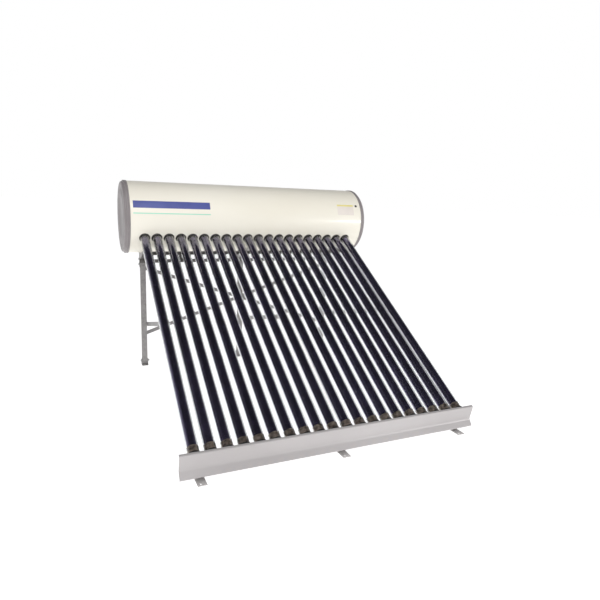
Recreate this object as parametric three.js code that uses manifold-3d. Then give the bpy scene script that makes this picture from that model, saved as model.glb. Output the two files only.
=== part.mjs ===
import * as THREE from 'three';
import { mergeVertices } from 'three/addons/utils/BufferGeometryUtils.js';
import Module from 'manifold-3d';

// Thermosiphon solar water heater: a horizontal insulated tank carried on three steel frames,
// with a row of evacuated glass tubes that slope from the tank down to a bottom rail.
// Millimetres. X runs along the tank, -Y is the front (the low end of the tubes), +Z is up.
// The feet stand on Z = 0.

const wasm = await Module();
wasm.setup();

// --- Driving dimensions ---
const TUBE_COUNT = 20;
const TUBE_PITCH = 80;
const TUBE_R = 29;                 // outer glass, 58 mm across
const TUBE_BORE_R = 22;            // water side of the inner glass
const TUBE_BOTTOM = 1685;          // closed tip, measured along the tube from the tank's skin
const TUBE_INSERT = 102;           // length of tube inside the tank's skin
const ROW_X = -15;                 // the tube row and frames sit left of the tank's middle
const TILT = THREE.MathUtils.degToRad(31.13);

const RING_Y = 503;                // where the tube axes cross the tank's skin
const RING_Z = 971;

const SHELL_R = 245;
const SHELL_T = 1.2;
const SHELL_HALF = 884;
const CAP_R = 248;
const CAP_TIER_R = 239;
const CAP_T = 2;
const CAP_EDGE = 865;              // inner edge of each end cap's skirt
const CAP_END = 902;
const INNER_R = 193;
const INNER_T = 1.5;
const FOAM_GAP = 0.6;
const INNER_HALF = 815;
const TUBE_HOLE_R = 31;

// How many flats each round piece has.
const TANK_SIDES = 36;
const VESSEL_SIDES = 24;
const TUBE_SIDES = 12;
const BOLT_SIDES = 10;
const HEX_SIDES = 6;

const FRAME_X = [ROW_X - 738, ROW_X, ROW_X + 738];
const FRAME_NAMES = ['left', 'mid', 'right'];
const LEG_W = 38;                  // channel width, along X
const LEG_D = 25;                  // channel depth
const LEG_T = 2.5;
const LEG_BELOW = 70;              // inclined leg's centre line below the tube axes
const REAR_LEG_Y = 788;
const REAR_LEG_TOP = 851;
const REAR_LEG_FOOT = 9;

const STRUT_W = 30;
const BRACE_W = 26;
const BRACE_HIGH = 732;            // heights where the braces meet the end frames
const BRACE_LOW = 232;
const FLAT_T = 3;
const PLATE_GAP = 0.35;

const RAIL_HALF = 835;
const RAIL_T = 2;
const FOOT_W = 2 * (LEG_W / 2 + PLATE_GAP + FLAT_T);
const BASE_T = 4;
const EAR_R = 16;
const BOLT_R = 4.8;
const BOLT_HEAD_R = 9;
const BOLT_HEAD_H = 6.5;
const NUT_H = 8;
const BOLT_END = 11;               // how far the thread reaches past the nut's seat
const BOLT_HOLE_R = 5.4;
const ANCHOR_R = 5.5;              // hole for the anchor that holds a foot down
const ANCHOR_INSET = 15;
const ANCHOR_SIDE = -6;

const PIPE_R = 18.5;
const PIPE_BORE_R = 13.6;
const PIPE_HOLE_R = 19.7;

// Unit vectors in the YZ plane: down along a tube, and up out of the tube plane.
const DOWN = new THREE.Vector3(0, -Math.cos(TILT), -Math.sin(TILT));
const OUT = new THREE.Vector3(0, -Math.sin(TILT), Math.cos(TILT));
const TANK_Y = RING_Y + SHELL_R * Math.cos(TILT);
const TANK_Z = RING_Z + SHELL_R * Math.sin(TILT);

const FRONT_EDGE = -991;           // front end of the front feet
const FRONT_PIVOT_Z = 36;
const REAR_PIVOT_Z = 30;

// --- Helpers ---

// A point in the tube plane: s along the tubes from the tank's skin, n above the tube axes.
function inPlane(x, s, n) {
  return new THREE.Vector3(x, RING_Y, RING_Z).addScaledVector(DOWN, s).addScaledVector(OUT, n);
}

function signedVolume(geometry) {
  const p = geometry.attributes.position;
  const index = geometry.index.array;
  const a = new THREE.Vector3();
  const b = new THREE.Vector3();
  const c = new THREE.Vector3();
  let sum = 0;
  for (let i = 0; i < index.length; i += 3) {
    a.fromBufferAttribute(p, index[i]);
    b.fromBufferAttribute(p, index[i + 1]);
    c.fromBufferAttribute(p, index[i + 2]);
    sum += a.dot(b.cross(c)) / 6;
  }
  return sum;
}

// Position-only, welded, facing outwards and without the zero-area faces a lathe leaves on its axis.
function weld(geometry) {
  const bare = new THREE.BufferGeometry();
  bare.setAttribute('position', geometry.attributes.position);
  bare.setIndex(geometry.index);
  const merged = mergeVertices(bare, 1e-4);
  const kept = [];
  const index = merged.index.array;
  for (let i = 0; i < index.length; i += 3) {
    const [a, b, c] = [index[i], index[i + 1], index[i + 2]];
    if (a !== b && b !== c && c !== a) {
      kept.push(a, b, c);
    }
  }
  merged.setIndex(kept);
  if (signedVolume(merged) < 0) {
    merged.setIndex(kept.reverse());
  }
  return merged;
}

function toSolid(geometry) {
  const welded = weld(geometry);
  return new wasm.Manifold(new wasm.Mesh({
    numProp: 3,
    vertProperties: Float32Array.from(welded.attributes.position.array),
    triVerts: Uint32Array.from(welded.index.array),
  }));
}

function fromSolid(solid) {
  const mesh = solid.getMesh();
  const geometry = new THREE.BufferGeometry();
  geometry.setAttribute('position', new THREE.BufferAttribute(mesh.vertProperties, 3));
  geometry.setIndex(new THREE.BufferAttribute(mesh.triVerts, 1));
  return geometry;
}

// Turns geometry built about the +Y axis so that it runs along `direction` from `origin`.
function aim(geometry, origin, direction) {
  const turn = new THREE.Quaternion().setFromUnitVectors(new THREE.Vector3(0, 1, 0), direction);
  geometry.applyQuaternion(turn);
  geometry.translate(origin.x, origin.y, origin.z);
  return geometry;
}

function lathe(profile, segments) {
  return new THREE.LatheGeometry(profile.map(([r, h]) => new THREE.Vector2(r, h)), segments);
}

function cylinderAlong(origin, direction, radius, from, to, segments) {
  const geometry = new THREE.CylinderGeometry(radius, radius, to - from, segments);
  geometry.translate(0, (from + to) / 2, 0);
  return aim(geometry, origin, direction);
}

function box(x0, x1, y0, y1, z0, z1) {
  const geometry = new THREE.BoxGeometry(x1 - x0, y1 - y0, z1 - z0);
  geometry.translate((x0 + x1) / 2, (y0 + y1) / 2, (z0 + z1) / 2);
  return geometry;
}

function outline(points) {
  return new THREE.Shape(points.map(([u, v]) => new THREE.Vector2(u, v)));
}

// Extrudes a shape drawn in (Y, Z) along X.
function alongX(shape, x0, x1, curveSegments = 12) {
  const options = { depth: x1 - x0, bevelEnabled: false, curveSegments };
  const geometry = new THREE.ExtrudeGeometry(shape, options);
  const turn = new THREE.Matrix4().makeBasis(
    new THREE.Vector3(0, 1, 0), new THREE.Vector3(0, 0, 1), new THREE.Vector3(1, 0, 0));
  geometry.applyMatrix4(turn);
  geometry.translate(x0, 0, 0);
  return geometry;
}

// Extrudes a shape drawn in (X, v) along `direction`, where v points along `up`.
function alongLeg(shape, start, direction, up, length) {
  const geometry = new THREE.ExtrudeGeometry(shape, { depth: length, bevelEnabled: false });
  const side = new THREE.Vector3().crossVectors(up, direction);
  geometry.applyMatrix4(new THREE.Matrix4().makeBasis(side, up, direction));
  geometry.translate(start.x, start.y, start.z);
  return geometry;
}

// Closed outline of a sheet of thickness t that follows a bent line, laid on the line's left.
function sheet(line, t) {
  const far = line.map((point, i) => {
    const before = line[Math.max(i - 1, 0)];
    const after = line[Math.min(i + 1, line.length - 1)];
    const normals = [[before, point], [point, after]]
      .map(([a, b]) => [-(b[1] - a[1]), b[0] - a[0]])
      .map(([x, y]) => [x, y, Math.hypot(x, y)])
      .filter((n) => n[2] > 1e-6)
      .map(([x, y, size]) => [x / size, y / size]);
    const first = normals[0];
    const last = normals[normals.length - 1];
    const stretch = t / (1 + first[0] * last[0] + first[1] * last[1]);
    return [point[0] + (first[0] + last[0]) * stretch, point[1] + (first[1] + last[1]) * stretch];
  });
  return outline([...line, ...far.reverse()]);
}

// A channel: flat web on the +v side, flanges pointing to -v.
function channel() {
  const w = LEG_W / 2;
  const d = LEG_D / 2;
  return sheet([[-w, -d], [-w, d], [w, d], [w, -d]].reverse(), LEG_T);
}

// A flat bar between two points, lying in a plane square to X.
function barInSidePlane(x0, y0, z0, y1, z1, width, reach) {
  const along = new THREE.Vector2(y1 - y0, z1 - z0).normalize();
  const across = new THREE.Vector2(-along.y, along.x).multiplyScalar(width / 2);
  const [ay, az] = [y0 - along.x * reach, z0 - along.y * reach];
  const [by, bz] = [y1 + along.x * reach, z1 + along.y * reach];
  return alongX(outline([
    [ay - across.x, az - across.y],
    [by - across.x, bz - across.y],
    [by + across.x, bz + across.y],
    [ay + across.x, az + across.y],
  ]), x0, x0 + FLAT_T);
}

function boltHole(x, y, z, radius, half) {
  const origin = new THREE.Vector3(x, y, z);
  return toSolid(cylinderAlong(origin, new THREE.Vector3(1, 0, 0), radius, -half, half, BOLT_SIDES));
}

const group = new THREE.Group();
group.name = 'solar_water_heater';

function add(name, geometry, color, roughness, metalness) {
  const material = new THREE.MeshStandardMaterial({ color, roughness, metalness });
  material.name = name;
  const mesh = new THREE.Mesh(weld(geometry), material);
  mesh.geometry.computeVertexNormals();
  mesh.name = name;
  group.add(mesh);
}

const CREAM = 0xe9e3d6;
const CAP_GREY = 0x9a9694;
const STEEL_GREY = 0xa9a7a6;
const RAIL_GREY = 0xbdb9b8;
const DARK_STEEL = 0x4a4845;
const GLASS_NAVY = 0x1b1a28;
const FOAM = 0xd9c68a;
const STAINLESS = 0xc4c6c8;
const ZINC = 0xb4b6b8;

// --- Tank ---
const tankCentre = new THREE.Vector3(0, TANK_Y, TANK_Z);
const ALONG_TANK = new THREE.Vector3(1, 0, 0);

function tubeX(i) {
  return ROW_X + (i - (TUBE_COUNT - 1) / 2) * TUBE_PITCH;
}

const tubeHoles = [];
for (let i = 0; i < TUBE_COUNT; i += 1) {
  const origin = inPlane(tubeX(i), 0, 0);
  tubeHoles.push(toSolid(cylinderAlong(origin, DOWN, TUBE_HOLE_R, -TUBE_INSERT - 30, 60, TUBE_SIDES)));
}

const INLET_X = ROW_X - 475;
const INLET_TIP = 784;             // heights of the inlet's two ends
const INLET_ROOT = 914;
const OUTLET_X = ROW_X + 475;
const OUTLET_Z = TANK_Z + 110;
const OUTLET_ROOT = 858;           // depths of the outlet's two ends
const OUTLET_TIP = 991;
const inletAxis = new THREE.Vector3(INLET_X, TANK_Y, 0);
const outletAxis = new THREE.Vector3(OUTLET_X, 0, OUTLET_Z);
const PIPE_UP = new THREE.Vector3(0, 0, 1);
const PIPE_BACK = new THREE.Vector3(0, 1, 0);
const pipeHoles = [
  toSolid(cylinderAlong(inletAxis, PIPE_UP, PIPE_HOLE_R, INLET_TIP, INLET_ROOT + 11, TUBE_SIDES)),
  toSolid(cylinderAlong(outletAxis, PIPE_BACK, PIPE_HOLE_R, OUTLET_ROOT - 8, OUTLET_TIP, TUBE_SIDES)),
];

function pierced(geometry) {
  let solid = toSolid(geometry);
  for (const hole of [...tubeHoles, ...pipeHoles]) {
    solid = solid.subtract(hole);
  }
  return fromSolid(solid);
}

const shell = lathe([
  [SHELL_R - SHELL_T, -SHELL_HALF], [SHELL_R, -SHELL_HALF],
  [SHELL_R, SHELL_HALF], [SHELL_R - SHELL_T, SHELL_HALF],
  [SHELL_R - SHELL_T, -SHELL_HALF],
], TANK_SIDES);
add('tank_outer_shell', pierced(aim(shell, tankCentre, ALONG_TANK)), CREAM, 0.35, 0.1);

const foamOuter = SHELL_R - SHELL_T - FOAM_GAP;
const foamEnd = SHELL_HALF - 6;
const foamBody = lathe([
  [0, -foamEnd], [foamOuter, -foamEnd], [foamOuter, foamEnd], [0, foamEnd],
], TANK_SIDES);
const foamHollow = lathe([
  [0, -INNER_HALF - FOAM_GAP], [INNER_R + FOAM_GAP, -INNER_HALF - FOAM_GAP],
  [INNER_R + FOAM_GAP, INNER_HALF + FOAM_GAP], [0, INNER_HALF + FOAM_GAP],
], VESSEL_SIDES);
const foam = toSolid(aim(foamBody, tankCentre, ALONG_TANK))
  .subtract(toSolid(aim(foamHollow, tankCentre, ALONG_TANK)));
add('tank_insulation', pierced(fromSolid(foam)), FOAM, 0.95, 0);

const vesselBody = lathe([
  [0, -INNER_HALF], [INNER_R, -INNER_HALF], [INNER_R, INNER_HALF], [0, INNER_HALF],
], VESSEL_SIDES);
const vesselHollow = lathe([
  [0, -INNER_HALF + INNER_T], [INNER_R - INNER_T, -INNER_HALF + INNER_T],
  [INNER_R - INNER_T, INNER_HALF - INNER_T], [0, INNER_HALF - INNER_T],
], VESSEL_SIDES);
const vessel = toSolid(aim(vesselBody, tankCentre, ALONG_TANK))
  .subtract(toSolid(aim(vesselHollow, tankCentre, ALONG_TANK)));
add('inner_tank', pierced(fromSolid(vessel)), STAINLESS, 0.3, 0.9);

// End caps: a skirt over the shell, then a step in to a smaller tier with a rounded edge.
const capStep = CAP_END - 15.5;
const capProfile = [
  [0, CAP_END], [CAP_TIER_R - 18, CAP_END], [CAP_TIER_R - 5, CAP_END - 4], [CAP_TIER_R, CAP_END - 10],
  [CAP_TIER_R, capStep], [CAP_R, capStep], [CAP_R, CAP_EDGE],
  [SHELL_R + 0.4, CAP_EDGE], [SHELL_R + 0.4, capStep - CAP_T], [CAP_TIER_R - CAP_T, capStep - CAP_T],
  [CAP_TIER_R - 20, CAP_END - CAP_T], [0, CAP_END - CAP_T],
];
const leftCap = aim(lathe(capProfile, TANK_SIDES), tankCentre, ALONG_TANK.clone().negate());
add('end_cap_left', leftCap, CAP_GREY, 0.45, 0.1);
const rightCap = aim(lathe(capProfile, TANK_SIDES), tankCentre, ALONG_TANK);
add('end_cap_right', rightCap, CAP_GREY, 0.45, 0.1);

// Pipe stubs: each is welded to the inner tank and passes out through the insulation.
function pipeStub(inner, tip) {
  return lathe([
    [PIPE_BORE_R, inner], [PIPE_R, inner], [PIPE_R, tip], [PIPE_BORE_R, tip], [PIPE_BORE_R, inner],
  ], TUBE_SIDES);
}
add('cold_water_inlet', aim(pipeStub(INLET_ROOT, INLET_TIP), inletAxis, PIPE_UP), DARK_STEEL, 0.5, 0.5);
add('hot_water_outlet', aim(pipeStub(OUTLET_ROOT, OUTLET_TIP), outletAxis, PIPE_BACK), STAINLESS, 0.35, 0.9);

// --- Evacuated tubes: open at the top inside the tank, closed by a rounded tip at the bottom ---
const tipStart = TUBE_BOTTOM - TUBE_R;
const tubeProfile = [
  [TUBE_BORE_R, -TUBE_INSERT],
  [TUBE_R, -TUBE_INSERT],
  [TUBE_R, tipStart],
  [TUBE_R * Math.cos(Math.PI / 4), tipStart + TUBE_R * Math.sin(Math.PI / 4)],
  [0, TUBE_BOTTOM],
  [0, TUBE_BOTTOM - 12],
  [TUBE_BORE_R, tipStart],
  [TUBE_BORE_R, -TUBE_INSERT],
];
for (let i = 0; i < TUBE_COUNT; i += 1) {
  const number = String(i + 1).padStart(2, '0');
  const tube = aim(lathe(tubeProfile, TUBE_SIDES), inPlane(tubeX(i), 0, 0), DOWN);
  add(`vacuum_tube_${number}`, tube, GLASS_NAVY, 0.08, 0);
}

// --- Frames ---
const UP = new THREE.Vector3(0, 0, 1);
const CRADLE_FROM = THREE.MathUtils.degToRad(-136);
const CRADLE_TO = THREE.MathUtils.degToRad(-66);
const CRADLE_STEPS = 8;
const CRADLE_IN = (SHELL_R + PLATE_GAP) / Math.cos((CRADLE_TO - CRADLE_FROM) / CRADLE_STEPS / 2);
const CRADLE_OUT = CRADLE_IN + FLAT_T;

function onTank(radius, angle) {
  return [TANK_Y + radius * Math.cos(angle), TANK_Z + radius * Math.sin(angle)];
}

function arcPoints(radius, from, to, steps) {
  return Array.from({ length: steps + 1 }, (_, i) => onTank(radius, from + (to - from) * i / steps));
}

// The saddle strip and the plate that carries it, pressed as one piece.
function cradle(x) {
  const strip = alongX(outline([
    ...arcPoints(CRADLE_IN, CRADLE_FROM, CRADLE_TO, CRADLE_STEPS),
    ...arcPoints(CRADLE_OUT, CRADLE_TO, CRADLE_FROM, CRADLE_STEPS),
  ]), x - FOOT_W / 2, x + LEG_W / 2);
  const plate = alongX(outline([
    ...arcPoints(CRADLE_OUT - 1, CRADLE_FROM, CRADLE_TO, CRADLE_STEPS),
    [REAR_LEG_Y + 16, TANK_Z - 300],
    [REAR_LEG_Y + 16, TANK_Z - 362],
    [REAR_LEG_Y - 11, TANK_Z - 362],
    [REAR_LEG_Y - 11, TANK_Z - 300],
    [REAR_LEG_Y - 60, TANK_Z - 290],
    [RING_Y + 66, TANK_Z - 217],
    [RING_Y - 8, TANK_Z - 217],
    [RING_Y - 8, TANK_Z - 200],
  ]), x - FOOT_W / 2, x - FOOT_W / 2 + FLAT_T);
  return fromSolid(toSolid(strip).add(toSolid(plate)));
}

const legStart = 16;
const pivotS = (RING_Z - LEG_BELOW * OUT.z - FRONT_PIVOT_Z) / Math.sin(TILT);
const frontPivot = inPlane(0, pivotS, -LEG_BELOW);
const legLength = pivotS + 12 - legStart;

function inclinedLeg(x) {
  const start = inPlane(x, legStart, -LEG_BELOW);
  const leg = toSolid(alongLeg(channel(), start, DOWN, OUT, legLength));
  return fromSolid(leg.subtract(boltHole(x, frontPivot.y, frontPivot.z, BOLT_HOLE_R, 30)));
}

function rearLeg(x) {
  const start = new THREE.Vector3(x, REAR_LEG_Y, REAR_LEG_FOOT);
  const front = new THREE.Vector3(0, -1, 0);
  const leg = toSolid(alongLeg(channel(), start, UP, front, REAR_LEG_TOP - REAR_LEG_FOOT));
  return fromSolid(leg.subtract(boltHole(x, REAR_LEG_Y, REAR_PIVOT_Z, BOLT_HOLE_R, 30)));
}

// A foot: a base plate with two upright ears that straddle the leg and turn on one bolt.
function foot(x, pivotY, pivotZ, baseFront, baseBack) {
  const ear = new THREE.Shape();
  ear.moveTo(pivotY - EAR_R - 4, BASE_T - 1);
  ear.lineTo(pivotY + EAR_R + 4, BASE_T - 1);
  ear.lineTo(pivotY + EAR_R, pivotZ);
  ear.absarc(pivotY, pivotZ, EAR_R, 0, Math.PI, false);
  ear.lineTo(pivotY - EAR_R - 4, BASE_T - 1);
  const inner = LEG_W / 2 + PLATE_GAP;
  let body = toSolid(box(x - FOOT_W / 2, x + FOOT_W / 2, baseFront, baseBack, 0, BASE_T));
  body = body.add(toSolid(alongX(ear, x - FOOT_W / 2, x - inner, 5)));
  body = body.add(toSolid(alongX(ear, x + inner, x + FOOT_W / 2, 5)));
  const anchorAt = new THREE.Vector3(x + ANCHOR_SIDE, baseFront + ANCHOR_INSET, 0);
  body = body.subtract(toSolid(cylinderAlong(anchorAt, UP, ANCHOR_R, -2, BASE_T + 2, BOLT_SIDES)));
  return fromSolid(body.subtract(boltHole(x, pivotY, pivotZ, BOLT_HOLE_R, 40)));
}

// Pivot bolt with its head and its nut.
function pivotBolt(x, y, z) {
  const origin = new THREE.Vector3(x, y, z);
  const face = FOOT_W / 2 + PLATE_GAP;
  const shank = cylinderAlong(origin, ALONG_TANK, BOLT_R, -face - 1, face + BOLT_END, BOLT_SIDES);
  const head = cylinderAlong(origin, ALONG_TANK, BOLT_HEAD_R, -face - BOLT_HEAD_H, -face, HEX_SIDES);
  const nut = cylinderAlong(origin, ALONG_TANK, BOLT_HEAD_R, face, face + NUT_H, HEX_SIDES);
  return fromSolid(toSolid(shank).add(toSolid(head)).add(toSolid(nut)));
}

const strutRear = { y: REAR_LEG_Y, z: 310 };
const strutFront = { y: -91, z: 524 };

FRAME_X.forEach((x, i) => {
  const side = FRAME_NAMES[i];
  add(`tank_cradle_${side}`, cradle(x), STEEL_GREY, 0.5, 0.6);
  add(`inclined_leg_${side}`, inclinedLeg(x), STEEL_GREY, 0.5, 0.6);
  add(`rear_leg_${side}`, rearLeg(x), STEEL_GREY, 0.5, 0.6);
  const strut = barInSidePlane(
    x + LEG_W / 2 + PLATE_GAP, strutRear.y, strutRear.z, strutFront.y, strutFront.z, STRUT_W, 14);
  add(`side_strut_${side}`, strut, STEEL_GREY, 0.5, 0.6);
  const frontFoot = foot(x, frontPivot.y, frontPivot.z, FRONT_EDGE, frontPivot.y + 18);
  add(`front_foot_${side}`, frontFoot, RAIL_GREY, 0.5, 0.6);
  add(`front_foot_bolt_${side}`, pivotBolt(x, frontPivot.y, frontPivot.z), ZINC, 0.35, 0.9);
  const rearFoot = foot(x, REAR_LEG_Y, REAR_PIVOT_Z, REAR_LEG_Y - 36, REAR_LEG_Y + 24);
  add(`rear_foot_${side}`, rearFoot, STEEL_GREY, 0.5, 0.6);
  add(`rear_foot_bolt_${side}`, pivotBolt(x, REAR_LEG_Y, REAR_PIVOT_Z), ZINC, 0.35, 0.9);
});

// Two flat braces cross behind the rear legs, one in front of the other.
function crossBrace(y0, zLeft, zRight) {
  const run = FRAME_X[2] - FRAME_X[0];
  const slope = Math.atan2(zRight - zLeft, run);
  const length = Math.hypot(run, zRight - zLeft) + 34;
  const bar = new THREE.BoxGeometry(length, FLAT_T, BRACE_W);
  bar.rotateY(-slope);
  bar.translate(ROW_X, y0 + FLAT_T / 2, (zLeft + zRight) / 2);
  return bar;
}
const braceY = REAR_LEG_Y + LEG_D / 2 + PLATE_GAP;
add('cross_brace_front', crossBrace(braceY, BRACE_HIGH, BRACE_LOW), STEEL_GREY, 0.5, 0.6);
const backBrace = crossBrace(braceY + FLAT_T + PLATE_GAP, BRACE_LOW, BRACE_HIGH);
add('cross_brace_back', backBrace, STEEL_GREY, 0.5, 0.6);

// Angle rails that tie the three frames together under the tank.
const tieHalf = FRAME_X[2] - ROW_X + 24;
const frontTie = sheet([[RING_Y + 8, 855], [RING_Y + 8, 877], [RING_Y + 32, 877]].reverse(), LEG_T);
add('front_tie_rail', alongX(frontTie, ROW_X - tieHalf, ROW_X + tieHalf), DARK_STEEL, 0.5, 0.5);
const rearTieY = REAR_LEG_Y - LEG_D / 2 - PLATE_GAP;
const rearTie = sheet([[rearTieY, 768], [rearTieY, 794], [rearTieY - 22, 794]], LEG_T);
add('rear_tie_rail', alongX(rearTie, ROW_X - tieHalf, ROW_X + tieHalf), STEEL_GREY, 0.5, 0.6);

// Bottom rail: a folded sheet that holds the tube tips behind its face.
const railLine = [
  [-944, 147], [-958, 143], [-939, 62], [-963, 28], [-958, 24.5],
];
const rail = alongX(sheet(railLine, RAIL_T), ROW_X - RAIL_HALF, ROW_X + RAIL_HALF);
add('bottom_rail', rail, RAIL_GREY, 0.45, 0.5);

// Brackets from the top of each inclined leg to the back of the rail's face.
const [faceTop, faceBend] = [railLine[1], railLine[2]].map(([y, z]) => new THREE.Vector2(y, z));
const railDir = faceBend.clone().sub(faceTop).normalize();
const railBack = new THREE.Vector2(-railDir.y, railDir.x).multiplyScalar(RAIL_T + PLATE_GAP);
const bracketLow = faceBend.clone().add(railBack).addScaledVector(railDir, -6);
const bracketHigh = bracketLow.clone().addScaledVector(railDir, -26);
const shelf = inPlane(0, 0, -LEG_BELOW + LEG_D / 2 + PLATE_GAP);
const shelfAt = (y) => shelf.z + (y - shelf.y) * Math.tan(TILT);
const bracketLine = [
  [bracketHigh.x, bracketHigh.y], [bracketLow.x, bracketLow.y],
  [bracketLow.x + 6, shelfAt(bracketLow.x + 6)], [bracketLow.x + 46, shelfAt(bracketLow.x + 46)],
];
FRAME_X.forEach((x, i) => {
  const bracket = alongX(sheet(bracketLine, FLAT_T), x - 15, x + 15);
  add(`rail_bracket_${FRAME_NAMES[i]}`, bracket, STEEL_GREY, 0.5, 0.6);
});

export default group;
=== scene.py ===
import math

import bmesh
import bpy
from mathutils import Matrix, Vector


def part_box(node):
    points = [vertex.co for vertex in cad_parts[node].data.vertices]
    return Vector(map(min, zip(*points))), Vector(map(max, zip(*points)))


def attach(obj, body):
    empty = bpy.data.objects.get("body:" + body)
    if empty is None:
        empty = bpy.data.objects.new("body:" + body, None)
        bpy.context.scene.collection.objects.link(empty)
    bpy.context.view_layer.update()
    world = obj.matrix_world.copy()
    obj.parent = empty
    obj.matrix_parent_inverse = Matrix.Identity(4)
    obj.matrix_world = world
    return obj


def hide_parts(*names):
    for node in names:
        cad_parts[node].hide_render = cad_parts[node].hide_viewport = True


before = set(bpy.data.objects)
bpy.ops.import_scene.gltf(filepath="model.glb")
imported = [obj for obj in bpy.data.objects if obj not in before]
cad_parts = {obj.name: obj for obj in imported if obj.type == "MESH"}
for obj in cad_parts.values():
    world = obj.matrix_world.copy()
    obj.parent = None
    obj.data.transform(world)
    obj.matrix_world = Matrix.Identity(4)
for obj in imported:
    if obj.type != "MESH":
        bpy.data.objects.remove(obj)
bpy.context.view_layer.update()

BODY = "heater"

# ---------------------------------------------------------------- driving sizes, in metres
TUBE_COUNT = 20
TUBE_PITCH = 0.080
TUBE_TILT = math.radians(31.13)
TUBE_R = 0.029
GLASS_T = 0.0016
ABSORBER_R = 0.0235
TUBE_TOP = -0.102                  # along the tube, from the tank's skin
TUBE_TIP = 1.685
ROW_X = -0.015                     # the tube row and frames sit left of the tank's middle

SHELL_LOW, SHELL_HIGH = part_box("tank_outer_shell")
SHELL_R = (SHELL_HIGH[2] - SHELL_LOW[2]) / 2
SHELL_HALF = (SHELL_HIGH[0] - SHELL_LOW[0]) / 2
CAP_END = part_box("end_cap_right")[1][0]
TANK_Y = (SHELL_HIGH[1] + SHELL_LOW[1]) / 2
TANK_Z = (SHELL_HIGH[2] + SHELL_LOW[2]) / 2

DOWN = Vector((0, -math.cos(TUBE_TILT), -math.sin(TUBE_TILT)))
OUT = Vector((0, -math.sin(TUBE_TILT), math.cos(TUBE_TILT)))
TANK_CENTRE = Vector((0, TANK_Y, TANK_Z))
RING_CENTRE = TANK_CENTRE + DOWN * SHELL_R

FRAME_STEP = 0.738                 # from the middle frame to each outer one
FRAME_X = {"left": ROW_X - FRAME_STEP, "mid": ROW_X, "right": ROW_X + FRAME_STEP}
REAR_LEG_Y = 0.788
LEG_HALF_DEPTH = 0.0125
LEG_FACE = 0.02235                 # from a leg's middle to the face of a plate bolted on its side
LEG_BELOW = 0.070                  # sloping leg's centre line below the tube axes
FLAT_T = 0.003
PLATE_GAP = 0.00035
BRACE_HIGH = 0.732
BRACE_LOW = 0.232
RAIL_HALF = 0.835
RAIL_T = 0.002

PIPE_R = 0.0170
PIPE_BORE_R = 0.0136
PIPE_OFFSET = 0.475                # from the row's middle to each pipe, along X
GROMMET_R = PIPE_R + 0.0001        # inside of a pipe's grommet
FIT_GAP = 0.0002                   # between pieces that slip into each other
TUBE_SEGMENTS = 40


def tube_x(i):
    return ROW_X + (i - (TUBE_COUNT - 1) / 2) * TUBE_PITCH


# ---------------------------------------------------------------- materials
def linear(red, green, blue):
    """sRGB, 0 to 255, to linear RGBA."""
    def one(c):
        c = c / 255
        return c / 12.92 if c <= 0.04045 else ((c + 0.055) / 1.055) ** 2.4
    return (one(red), one(green), one(blue), 1.0)


class Surface:
    """A material whose colour, roughness and bump come from layers of noise in the object's own space."""

    def __init__(self, name, roughness=0.5, metallic=0.0, **inputs):
        self.material = bpy.data.materials.new(name)
        self.material.use_nodes = True
        self.nodes = self.material.node_tree.nodes
        self.links = self.material.node_tree.links
        self.shader = self.nodes["Principled BSDF"]
        self.shader.inputs["Roughness"].default_value = roughness
        self.shader.inputs["Metallic"].default_value = metallic
        for key, value in inputs.items():
            self.shader.inputs[key.replace("_", " ")].default_value = value
        self.place = self.nodes.new("ShaderNodeTexCoord").outputs["Object"]

    def noise(self, scale, detail, stretch=(1, 1, 1)):
        mapping = self.nodes.new("ShaderNodeMapping")
        mapping.inputs["Scale"].default_value = stretch
        texture = self.nodes.new("ShaderNodeTexNoise")
        texture.inputs["Scale"].default_value = scale
        texture.inputs["Detail"].default_value = detail
        self.links.new(self.place, mapping.inputs["Vector"])
        self.links.new(mapping.outputs["Vector"], texture.inputs["Vector"])
        return texture.outputs["Fac"]

    def colour(self, factor, low, high, start=0.35, end=0.65):
        ramp = self.nodes.new("ShaderNodeValToRGB")
        ramp.color_ramp.elements[0].position = start
        ramp.color_ramp.elements[0].color = low
        ramp.color_ramp.elements[1].position = end
        ramp.color_ramp.elements[1].color = high
        self.links.new(factor, ramp.inputs["Fac"])
        self.links.new(ramp.outputs["Color"], self.shader.inputs["Base Color"])

    def rough(self, factor, low, high):
        spread = self.nodes.new("ShaderNodeMapRange")
        spread.inputs["To Min"].default_value = low
        spread.inputs["To Max"].default_value = high
        self.links.new(factor, spread.inputs["Value"])
        self.links.new(spread.outputs["Result"], self.shader.inputs["Roughness"])

    def bump(self, factor, distance):
        bump = self.nodes.new("ShaderNodeBump")
        bump.inputs["Distance"].default_value = distance
        bump.inputs["Strength"].default_value = 1.0
        self.links.new(factor, bump.inputs["Height"])
        self.links.new(bump.outputs["Normal"], self.shader.inputs["Normal"])


def powder_coat(name, low, high, roughness, metallic=0.0, peel=0.00006, **inputs):
    """Sprayed coating: slow colour drift, fine orange peel and uneven gloss."""
    surface = Surface(name, roughness, metallic, **inputs)
    drift = surface.noise(2.2, 4.0, (0.5, 1, 1))
    surface.colour(drift, linear(*low), linear(*high))
    surface.rough(surface.noise(9.0, 5.0), roughness - 0.06, roughness + 0.08)
    surface.bump(surface.noise(420.0, 2.0), peel)
    return surface.material


def bare_metal(name, low, high, roughness):
    """Rolled metal with fine lines along X."""
    surface = Surface(name, roughness, 1.0)
    lines = surface.noise(60.0, 3.0, (0.06, 1, 1))
    surface.colour(lines, linear(*low), linear(*high))
    surface.rough(surface.noise(14.0, 4.0), roughness - 0.07, roughness + 0.1)
    surface.bump(lines, 0.00003)
    return surface.material


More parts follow.
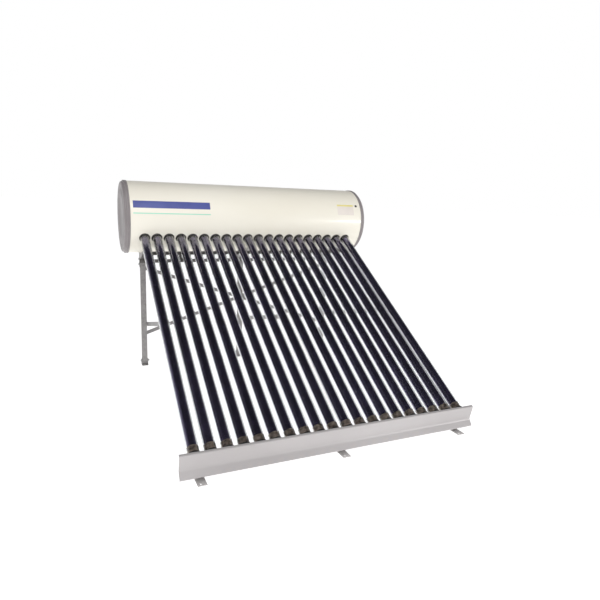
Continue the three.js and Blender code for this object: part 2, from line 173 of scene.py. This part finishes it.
def galvanised(name, low, high, roughness):
    """Dull grey coated steel with a faint crystal pattern."""
    surface = Surface(name, roughness, 0.35)
    cells = surface.nodes.new("ShaderNodeTexVoronoi")
    cells.inputs["Scale"].default_value = 90.0
    surface.links.new(surface.place, cells.inputs["Vector"])
    surface.colour(cells.outputs["Color"], linear(*low), linear(*high), 0.1, 0.9)
    surface.rough(surface.noise(25.0, 4.0), roughness - 0.08, roughness + 0.1)
    surface.bump(surface.noise(260.0, 3.0), 0.00004)
    return surface.material


def moulded(name, low, high, roughness, grain=0.0001):
    """Moulded plastic or rubber with a fine texture."""
    surface = Surface(name, roughness, 0.0)
    surface.colour(surface.noise(7.0, 4.0), linear(*low), linear(*high))
    surface.rough(surface.noise(30.0, 3.0), roughness - 0.05, roughness + 0.08)
    surface.bump(surface.noise(700.0, 2.0), grain)
    return surface.material


def clear_glass():
    surface = Surface("borosilicate_glass", 0.015, 0.0, Transmission_Weight=1.0, IOR=1.47)
    surface.colour(surface.noise(5.0, 2.0), linear(246, 249, 248), linear(253, 254, 254))
    return surface.material


def selective_coating():
    """The sputtered absorber film: near black with a violet cast and faint drawn lines."""
    surface = Surface("absorber_film", 0.22, 0.9)
    drift = surface.noise(6.0, 3.0, (1, 0.3, 0.3))
    surface.colour(drift, linear(84, 74, 104), linear(98, 88, 122))
    surface.rough(surface.noise(12.0, 2.0, (1, 0.1, 0.1)), 0.17, 0.23)
    return surface.material


def getter_film():
    """Barium getter mirror inside the tube's tip: brownish silver, patchy."""
    surface = Surface("getter_film", 0.4, 0.5)
    surface.colour(surface.noise(60.0, 4.0), linear(84, 70, 64), linear(186, 168, 154), 0.3, 0.7)
    surface.rough(surface.noise(90.0, 3.0), 0.25, 0.5)
    return surface.material


CREAM = powder_coat("cream_coat", (236, 231, 217), (241, 237, 225), 0.33,
                    Coat_Weight=0.25, Coat_Roughness=0.12)
CAP_GREY = moulded("cap_plastic", (136, 130, 131), (148, 142, 143), 0.42)
LEG_GREY = galvanised("leg_steel", (143, 140, 140), (162, 160, 159), 0.48)
RAIL_GREY = powder_coat("rail_coat", (178, 174, 174), (189, 185, 185), 0.4, 0.15)
# The feet's galvanised steel is far lighter than the legs': painted light standing in for the bright floor
# reflected in the foot plates.
FOOT_GREY_PAINTED_LIGHT = galvanised("foot_steel_painted_light", (206, 203, 202), (222, 219, 218), 0.5)
# Dark coat: the inlet stub's own dark finish, and on the front tie rail a painted shade standing for the
# shadow under the tank.
DARK_STEEL_AND_PAINTED_SHADE = powder_coat("dark_coat_and_painted_shade", (52, 50, 48), (66, 63, 60), 0.45)
# The rear tie rail gets a darker copy of the galvanised steel: painted shade.
SHADED_STEEL = galvanised("rear_tie_steel_painted_shade", (98, 96, 94), (116, 113, 110), 0.5)
FOAM = moulded("rigid_foam", (214, 190, 128), (228, 208, 150), 0.9, 0.0006)
STAINLESS = bare_metal("stainless_steel", (176, 178, 180), (206, 207, 208), 0.3)
ZINC = bare_metal("zinc_plate", (168, 169, 170), (196, 197, 198), 0.32)
RUBBER = moulded("black_rubber", (30, 29, 29), (44, 42, 41), 0.55)
GLASS = clear_glass()
ABSORBER = selective_coating()
GETTER = getter_film()
BLUE_FILM = moulded("blue_stripe_film", (62, 72, 140), (74, 84, 152), 0.35, 0.00002)
GREEN_FILM = moulded("green_stripe_film", (150, 214, 190), (166, 224, 202), 0.35, 0.00002)
LABEL_FILM = moulded("blank_label_film", (222, 214, 206), (232, 224, 216), 0.4, 0.00002)
LABEL_BAND = moulded("label_band_film", (220, 208, 128), (230, 220, 150), 0.4, 0.00002)


# ---------------------------------------------------------------- mesh helpers
def finish_mesh(name, bm, material, body=BODY, sharp=32.0, replaces=()):
    bmesh.ops.remove_doubles(bm, verts=bm.verts, dist=1e-7)
    bmesh.ops.recalc_face_normals(bm, faces=bm.faces)
    mesh = bpy.data.meshes.new(name)
    bm.to_mesh(mesh)
    bm.free()
    mesh.shade_smooth()
    mesh.set_sharp_from_angle(angle=math.radians(sharp))
    mesh.materials.append(material)
    piece = bpy.data.objects.new(name, mesh)
    bpy.context.scene.collection.objects.link(piece)
    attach(piece, body)
    if replaces:
        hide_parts(*replaces)


def basis_along(axis):
    """Two unit vectors square to an axis."""
    helper = Vector((1, 0, 0)) if abs(axis.x) < 0.9 else Vector((0, 0, 1))
    side = axis.cross(helper).normalized()
    return side, axis.cross(side).normalized()


def add_lathe(bm, profile, origin, axis, segments):
    """Turns (radius, distance along the axis) points into a closed surface."""
    side, other = basis_along(axis)
    rings = []
    for radius, along in profile:
        centre = origin + axis * along
        if radius < 1e-9:
            rings.append([bm.verts.new(centre)])
            continue
        ring = []
        for k in range(segments):
            angle = 2 * math.pi * k / segments
            spoke = side * math.cos(angle) + other * math.sin(angle)
            ring.append(bm.verts.new(centre + spoke * radius))
        rings.append(ring)
    for a, b in zip(rings, rings[1:]):
        for k in range(segments):
            n = (k + 1) % segments
            if len(a) == 1 and len(b) == 1:
                break
            if len(a) == 1:
                bm.faces.new((a[0], b[k], b[n]))
            elif len(b) == 1:
                bm.faces.new((a[k], a[n], b[0]))
            else:
                bm.faces.new((a[k], a[n], b[n], b[k]))


def lathe_piece(name, profile, origin, axis, material, slot, segments, replaces=(), sharp=32.0):
    bm = bmesh.new()
    add_lathe(bm, profile, origin, axis, segments)
    finish_mesh(name, bm, material, replaces=replaces, sharp=sharp)


def arc(centre, radius, start, end, steps):
    """Points (u, v) on an arc, angles in degrees."""
    points = []
    for k in range(steps + 1):
        angle = math.radians(start + (end - start) * k / steps)
        points.append((centre[0] + radius * math.cos(angle), centre[1] + radius * math.sin(angle)))
    return points


def fillet(line, radius, steps=6):
    """Rounds the inner corners of an open line of (u, v) points."""
    out = [line[0]]
    for before, corner, after in zip(line, line[1:], line[2:]):
        a = Vector(before) - Vector(corner)
        b = Vector(after) - Vector(corner)
        reach = min(radius, a.length * 0.45, b.length * 0.45)
        start = Vector(corner) + a.normalized() * reach
        end = Vector(corner) + b.normalized() * reach
        for k in range(steps + 1):
            t = k / steps
            p = start * (1 - t) ** 2 + Vector(corner) * (2 * t * (1 - t)) + end * t ** 2
            out.append((p.x, p.y))
    out.append(line[-1])
    return out


def thicken(line, t):
    """Closed outline of a sheet of thickness t to the left of an open line."""
    far = []
    for i, point in enumerate(line):
        before = Vector(line[max(i - 1, 0)])
        after = Vector(line[min(i + 1, len(line) - 1)])
        run = (after - before).normalized()
        far.append((point[0] - run.y * t, point[1] + run.x * t))
    return list(line) + far[::-1]


def add_prism(bm, outline, x0, x1):
    """Extrudes a closed (Y, Z) outline from x0 to x1."""
    near = [bm.verts.new((x0, y, z)) for y, z in outline]
    far = [bm.verts.new((x1, y, z)) for y, z in outline]
    bm.faces.new(near)
    bm.faces.new(far[::-1])
    for i in range(len(outline)):
        j = (i + 1) % len(outline)
        bm.faces.new((near[i], near[j], far[j], far[i]))


def add_bolt(bm, origin, axis):
    """Hex head with a chamfered top, standing on a washer."""
    washer_r = 0.012
    washer_t = 0.002
    head_r = 0.0085
    head_top = 0.0075
    seat = washer_t + 0.0001
    washer = [(0, 0), (washer_r, 0), (washer_r, washer_t - 0.0004), (washer_r - 0.0006, washer_t),
              (0, washer_t)]
    head = [(0, seat), (head_r, seat), (head_r, head_top - 0.001), (head_r * 0.86, head_top), (0, head_top)]
    add_lathe(bm, washer, origin, axis, 24)
    add_lathe(bm, head, origin, axis, 6)


# ---------------------------------------------------------------- tank
def build_tank():
    inside = SHELL_R - 0.0012
    profile = [(inside, -SHELL_HALF), (SHELL_R, -SHELL_HALF), (SHELL_R, SHELL_HALF), (inside, SHELL_HALF),
               (inside, -SHELL_HALF)]
    lathe_piece("tank_shell", profile, TANK_CENTRE, Vector((1, 0, 0)), CREAM, "cream_coat", 192,
                replaces=("tank_outer_shell",))


def build_lock_seam():
    """Lock seam where the rolled sheet meets itself, low on the back."""
    seam = -38
    half = math.degrees(0.009 / SHELL_R)
    foot = half * 1.1
    outer = arc((TANK_Y, TANK_Z), SHELL_R + 0.0012, seam - half, seam + half, 4)
    inner = arc((TANK_Y, TANK_Z), SHELL_R + 0.0001, seam + foot, seam - foot, 2)
    end = SHELL_HALF - 0.02
    bm = bmesh.new()
    add_prism(bm, outer + inner, -end, end)
    finish_mesh("shell_lock_seam", bm, CREAM)


def build_end_cap(side, sign):
    """Moulded cap: a dished face, a smaller outer tier, and a skirt with one groove round it."""
    skirt = SHELL_R + 0.003
    end = CAP_END
    edge = end - 0.037
    tier = skirt - 0.009
    step = end - 0.0155
    wall = 0.002
    profile = [(0, end - 0.004), (0.135, end - 0.004), (0.141, end - 0.0015), (0.147, end - 0.0005),
               (0.186, end - 0.0005), (0.191, end - 0.003), (0.196, end - 0.003), (0.201, end - 0.0008)]
    profile += arc((tier - 0.009, end - 0.0095), 0.009, 90, 0, 8)
    profile += [(tier, step + 0.0010), (tier + 0.0010, step)]
    profile += arc((skirt - 0.003, step - 0.003), 0.003, 90, 0, 4)
    groove = (step + edge) / 2
    profile += [(skirt, groove + 0.0030), (skirt - 0.0022, groove + 0.0016),
                (skirt - 0.0022, groove - 0.0016), (skirt, groove - 0.0030)]
    profile += [(skirt, edge + 0.0010), (skirt - 0.0008, edge), (SHELL_R + 0.0003, edge),
                (SHELL_R + 0.0003, step - wall), (tier - wall, step - wall),
                (tier - 0.020, end - 0.006), (0, end - 0.006)]
    lathe_piece(f"cap_{side}", profile, TANK_CENTRE, Vector((sign, 0, 0)), CAP_GREY, "cap_grey", 144,
                replaces=(f"end_cap_{side}",), sharp=50.0)


def build_decals():
    """Plain stripes and a blank plate in place of the printed name and sticker."""
    stripe = (-0.847, -0.337)
    label = (0.661, 0.803)
    film_strip("blue_stripe", *stripe, 151.5, 163.0, BLUE_FILM)
    film_strip("green_stripe", *stripe, 170.5, 172.0, GREEN_FILM)
    film_strip("blank_label", *label, 150.5, 166.5, LABEL_FILM)
    film_strip("label_band", *label, 147.0, 150.2, LABEL_BAND)


def film_strip(name, x0, x1, low, high, material):
    """A film on the shell from x0 to x1, between two angles in degrees round the tank."""
    steps = 14
    lift = 0.00035
    outer = arc((TANK_Y, TANK_Z), SHELL_R + lift, low, high, steps)
    inner = arc((TANK_Y, TANK_Z), SHELL_R + lift * 0.3, high, low, steps)
    bm = bmesh.new()
    add_prism(bm, outer + inner, x0, x1)
    finish_mesh(name, bm, material, sharp=60.0)


def build_sensor_plug():
    angle = math.radians(149)
    axis = Vector((0, math.cos(angle), math.sin(angle)))
    origin = Vector((0.829, TANK_Y, TANK_Z)) + axis * (SHELL_R - 0.001)
    profile = [(0, 0), (0.009, 0), (0.009, 0.002), (0.0075, 0.0035), (0.004, 0.004), (0, 0.0042)]
    lathe_piece("sensor_port_plug", profile, origin, axis, RUBBER, "cap_grey", 32)


def build_pipe(name, node, origin, axis, inner, tip, material, slot):
    """A pipe stub that ends in a threaded socket."""
    socket = 0.0205
    thread = 0.0012
    profile = [(PIPE_BORE_R, inner), (PIPE_R, inner), (PIPE_R, tip - 0.036), (socket - 0.002, tip - 0.034),
               (socket, tip - 0.031), (socket, tip - 0.002), (socket - 0.002, tip),
               (PIPE_BORE_R + 0.0016, tip)]
    along = tip
    while along > tip - 0.018:
        profile.append((PIPE_BORE_R + 0.0014, along - 0.0003))
        profile.append((PIPE_BORE_R + 0.0001, along - thread))
        along -= thread * 1.6
    profile += [(PIPE_BORE_R, tip - 0.022), (PIPE_BORE_R, inner)]
    lathe_piece(name, profile, origin, axis, material, slot, 48, replaces=(node,))


def build_inlet():
    """Cold inlet, straight down from the tank."""
    down = Vector((0, 0, -1))
    root_z, tip_z = 0.914, 0.784
    middle = Vector((ROW_X - PIPE_OFFSET, TANK_Y, TANK_Z))
    build_pipe("inlet_stub", "cold_water_inlet", middle, down, TANK_Z - root_z, TANK_Z - tip_z,
               DARK_STEEL_AND_PAINTED_SHADE, "dark_steel")
    grommet = [(GROMMET_R, 0.0), (0.027, -0.002), (0.028, 0.002), (0.024, 0.005), (0.019, 0.009),
               (GROMMET_R, 0.009), (GROMMET_R, 0.0)]
    lathe_piece("inlet_grommet", grommet, middle + down * SHELL_R, down, RUBBER, "cap_grey", 40)


def build_outlet():
    """Hot outlet, straight back from high on the tank."""
    back = Vector((0, 1, 0))
    rise = 0.110
    root_y, tip_y = 0.858, 0.991
    start = Vector((ROW_X + PIPE_OFFSET, 0, TANK_Z + rise))
    build_pipe("outlet_stub", "hot_water_outlet", start, back, root_y, tip_y, STAINLESS, "stainless")
    skin = TANK_Y + math.sqrt(SHELL_R ** 2 - rise ** 2)
    grommet = [(GROMMET_R, -0.016), (0.027, -0.016), (0.028, 0.010), (0.024, 0.014), (0.019, 0.017),
               (GROMMET_R, 0.017), (GROMMET_R, -0.016)]
    lathe_piece("outlet_grommet", grommet, start + back * skin, back, RUBBER, "cap_grey", 40)


# ---------------------------------------------------------------- tubes
def closed_tip(radius, tip, steps=8):
    """Quarter circle from the tube's side to its tip, as (radius, along) points."""
    return [(radius * math.cos(a), tip - radius + radius * math.sin(a))
            for a in (math.pi / 2 * k / steps for k in range(steps))] + [(0, tip)]


def walled_tube(radius, wall, top, tip):
    """Closed profile of a tube that is open at the top and rounded at the tip."""
    inner = closed_tip(radius - wall, tip - wall)
    mouth = [(radius - wall, top), (radius, top)]
    return mouth + closed_tip(radius, tip) + inner[::-1] + mouth[:1]


def tube_layer(name, profile, origin, material, slot, **options):
    lathe_piece(name, profile, origin, DOWN, material, slot, TUBE_SEGMENTS, **options)


def build_tube(i):
    number = f"{i + 1:02d}"
    origin = RING_CENTRE + Vector((tube_x(i), 0, 0))
    glass = walled_tube(TUBE_R, GLASS_T, TUBE_TOP, TUBE_TIP)
    tube_layer(f"outer_glass_{number}", glass, origin, GLASS, "tube_glass",
               replaces=(f"vacuum_tube_{number}",))
    absorber = walled_tube(ABSORBER_R, GLASS_T, TUBE_TOP + 0.002, TUBE_TIP - 0.036)
    tube_layer(f"absorber_{number}", absorber, origin, ABSORBER, "tube_glass")
    film = walled_tube(TUBE_R - GLASS_T - FIT_GAP, FIT_GAP, TUBE_TIP - 0.070, TUBE_TIP - GLASS_T - FIT_GAP)
    tube_layer(f"getter_{number}", film, origin, GETTER, "tube_glass")
    seat = TUBE_R + FIT_GAP
    ring = [(seat, -0.006), (0.0345, -0.0055), (0.0358, -0.003), (0.0358, 0.000), (0.0345, 0.003),
            (0.0325, 0.0045), (0.0312, 0.0085), (0.0302, 0.0105), (seat, 0.0105), (seat, -0.006)]
    tube_layer(f"dust_ring_{number}", ring, origin, RUBBER, "cap_grey", sharp=50.0)
    cup_t = 0.003
    cup = walled_tube(TUBE_R + cup_t, cup_t - FIT_GAP, TUBE_TIP - 0.035, TUBE_TIP + cup_t)
    tube_layer(f"tube_cup_{number}", cup, origin, RUBBER, "cap_grey")


# ---------------------------------------------------------------- frame
def build_rail():
    """Folded rail: small top return, leaning face, soft bend, and a lip that kicks forward."""
    line = [(-0.944, 0.147), (-0.958, 0.143), (-0.939, 0.062), (-0.963, 0.028), (-0.958, 0.0245)]
    rounded = fillet(line, 0.010)
    bm = bmesh.new()
    add_prism(bm, thicken(rounded, RAIL_T), ROW_X - RAIL_HALF, ROW_X + RAIL_HALF)
    finish_mesh("rail_sheet", bm, RAIL_GREY, replaces=("bottom_rail",))


def bolt_group(name, places):
    bm = bmesh.new()
    for origin, axis in places:
        add_bolt(bm, Vector(origin), Vector(axis))
    finish_mesh(name, bm, ZINC, sharp=25.0)


def build_frame_bolts():
    brace_y = REAR_LEG_Y + LEG_HALF_DEPTH + 2 * (PLATE_GAP + FLAT_T)
    left = (-1, 0, 0)
    right = (1, 0, 0)
    back = (0, 1, 0)
    for side, x in FRAME_X.items():
        leg_top = RING_CENTRE + Vector((x - LEG_FACE, 0, 0)) - OUT * LEG_BELOW
        places = [((x - LEG_FACE, REAR_LEG_Y, 0.796), left), ((x - LEG_FACE, REAR_LEG_Y, 0.758), left),
                  (leg_top + DOWN * 0.030, left), (leg_top + DOWN * 0.058, left),
                  ((x + LEG_FACE, REAR_LEG_Y, 0.310), right), ((x + LEG_FACE, -0.091, 0.524), right)]
        crossing = ((BRACE_HIGH + BRACE_LOW) / 2,)
        heights = crossing if side == "mid" else (BRACE_HIGH, BRACE_LOW)
        places += [((x, brace_y, z), back) for z in heights]
        bolt_group(f"frame_bolts_{side}", places)


def dress_cad_nodes():
    """Coats for the CAD nodes that stay, and a small round on their edges."""
    # The front tie rail's near-black coat and the rear tie rail's darker steel are painted shade under the
    # tank.
    coats = {"tank_insulation": FOAM, "inner_tank": STAINLESS, "front_tie_rail": DARK_STEEL_AND_PAINTED_SHADE,
             "rear_tie_rail": SHADED_STEEL}
    for name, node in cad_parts.items():
        material = coats.get(name, LEG_GREY)
        # The feet take the lighter steel, which is painted light.
        if name.startswith("front_foot") and "bolt" not in name:
            material = FOOT_GREY_PAINTED_LIGHT
        if "bolt" in name:
            material = ZINC
        node.data.materials.clear()
        node.data.materials.append(material)
        if name in ("tank_insulation", "inner_tank") or name.startswith("vacuum"):
            continue
        bevel = node.modifiers.new("edge_round", "BEVEL")
        bevel.width = 0.0006
        bevel.segments = 2
        bevel.limit_method = "ANGLE"
        bevel.angle_limit = math.radians(40)


# ---------------------------------------------------------------- stage
def build_camera():
    yaw, pitch, roll = math.radians(24.92), math.radians(-11.34), math.radians(2.27)
    forward = Vector((math.sin(yaw) * math.cos(pitch), math.cos(yaw) * math.cos(pitch), math.sin(pitch)))
    level = Vector((math.cos(yaw), -math.sin(yaw), 0))
    upright = level.cross(forward)
    right = level * math.cos(roll) + upright * math.sin(roll)
    up = upright * math.cos(roll) - level * math.sin(roll)
    camera = bpy.data.objects.new("camera", bpy.data.cameras.new("camera"))
    camera.data.sensor_width = 36.0
    camera.data.lens = 30.79
    camera.data.clip_end = 200.0
    turn = Matrix((right, up, -forward)).transposed()
    camera.matrix_world = Matrix.Translation((-1.2646, -3.0383, 1.2780)) @ turn.to_4x4()
    bpy.context.scene.collection.objects.link(camera)
    bpy.context.scene.camera = camera


def build_floor():
    bm = bmesh.new()
    bmesh.ops.create_grid(bm, x_segments=1, y_segments=1, size=60.0)
    mesh = bpy.data.meshes.new("floor")
    bm.to_mesh(mesh)
    bm.free()
    floor = bpy.data.objects.new("floor", mesh)
    bpy.context.scene.collection.objects.link(floor)
    surface = Surface("pale_floor", 0.9)
    surface.shader.inputs["Base Color"].default_value = (0.55, 0.55, 0.55, 1)
    surface.shader.inputs["Emission Color"].default_value = (1, 1, 1, 1)
    surface.shader.inputs["Emission Strength"].default_value = 0.92
    mesh.materials.append(surface.material)


def build_sky():
    """Bright at the horizon and dim overhead, with a plain white backdrop behind the object."""
    world = bpy.data.worlds.new("studio")
    bpy.context.scene.world = world
    world.use_nodes = True
    nodes = world.node_tree.nodes
    links = world.node_tree.links
    lighting = nodes["Background"]
    place = nodes.new("ShaderNodeTexCoord")
    parts = nodes.new("ShaderNodeSeparateXYZ")
    ramp = nodes.new("ShaderNodeValToRGB")
    ramp.color_ramp.elements[0].position = 0.0
    ramp.color_ramp.elements[0].color = (0.8, 0.8, 0.8, 1)
    ramp.color_ramp.elements[1].position = 0.72
    ramp.color_ramp.elements[1].color = (0.05, 0.05, 0.055, 1)
    links.new(place.outputs["Generated"], parts.inputs["Vector"])
    links.new(parts.outputs["Z"], ramp.inputs["Fac"])
    links.new(ramp.outputs["Color"], lighting.inputs["Color"])
    backdrop = nodes.new("ShaderNodeBackground")
    backdrop.inputs["Color"].default_value = (1, 1, 1, 1)
    path = nodes.new("ShaderNodeLightPath")
    mix = nodes.new("ShaderNodeMixShader")
    links.new(path.outputs["Is Camera Ray"], mix.inputs["Fac"])
    links.new(lighting.outputs["Background"], mix.inputs[1])
    links.new(backdrop.outputs["Background"], mix.inputs[2])
    links.new(mix.outputs["Shader"], nodes["World Output"].inputs["Surface"])


def build_softbox(name, place, aim, size, power, reflected=True):
    light = bpy.data.lights.new(name, "AREA")
    light.shape = "RECTANGLE"
    light.size, light.size_y = size
    light.energy = power
    holder = bpy.data.objects.new(name, light)
    holder.visible_glossy = reflected
    holder.visible_transmission = reflected
    direction = Vector(aim) - Vector(place)
    turn = direction.to_track_quat("-Z", "Y").to_matrix().to_4x4()
    holder.matrix_world = Matrix.Translation(place) @ turn
    bpy.context.scene.collection.objects.link(holder)


build_camera()
build_floor()
build_sky()
build_softbox("front_softbox", (4.9, -6.0, 1.3), (0.4, 0.4, 0.9), size=(1.2, 0.5), power=95)
build_softbox("high_softbox", (-1.5, -4.5, 5.0), (0, 0.2, 0.4), size=(4.0, 3.0), power=155)
build_softbox("overhead_fill", (-0.5, -0.6, 6.0), (0, 0.2, 0.4), size=(4.0, 4.0), power=70, reflected=False)
bpy.context.scene.view_settings.view_transform = "Standard"

dress_cad_nodes()
build_tank()
build_lock_seam()
build_end_cap("left", -1)
build_end_cap("right", 1)
build_decals()
build_sensor_plug()
build_inlet()
build_outlet()
for tube in range(TUBE_COUNT):
    build_tube(tube)
build_rail()
build_frame_bolts()
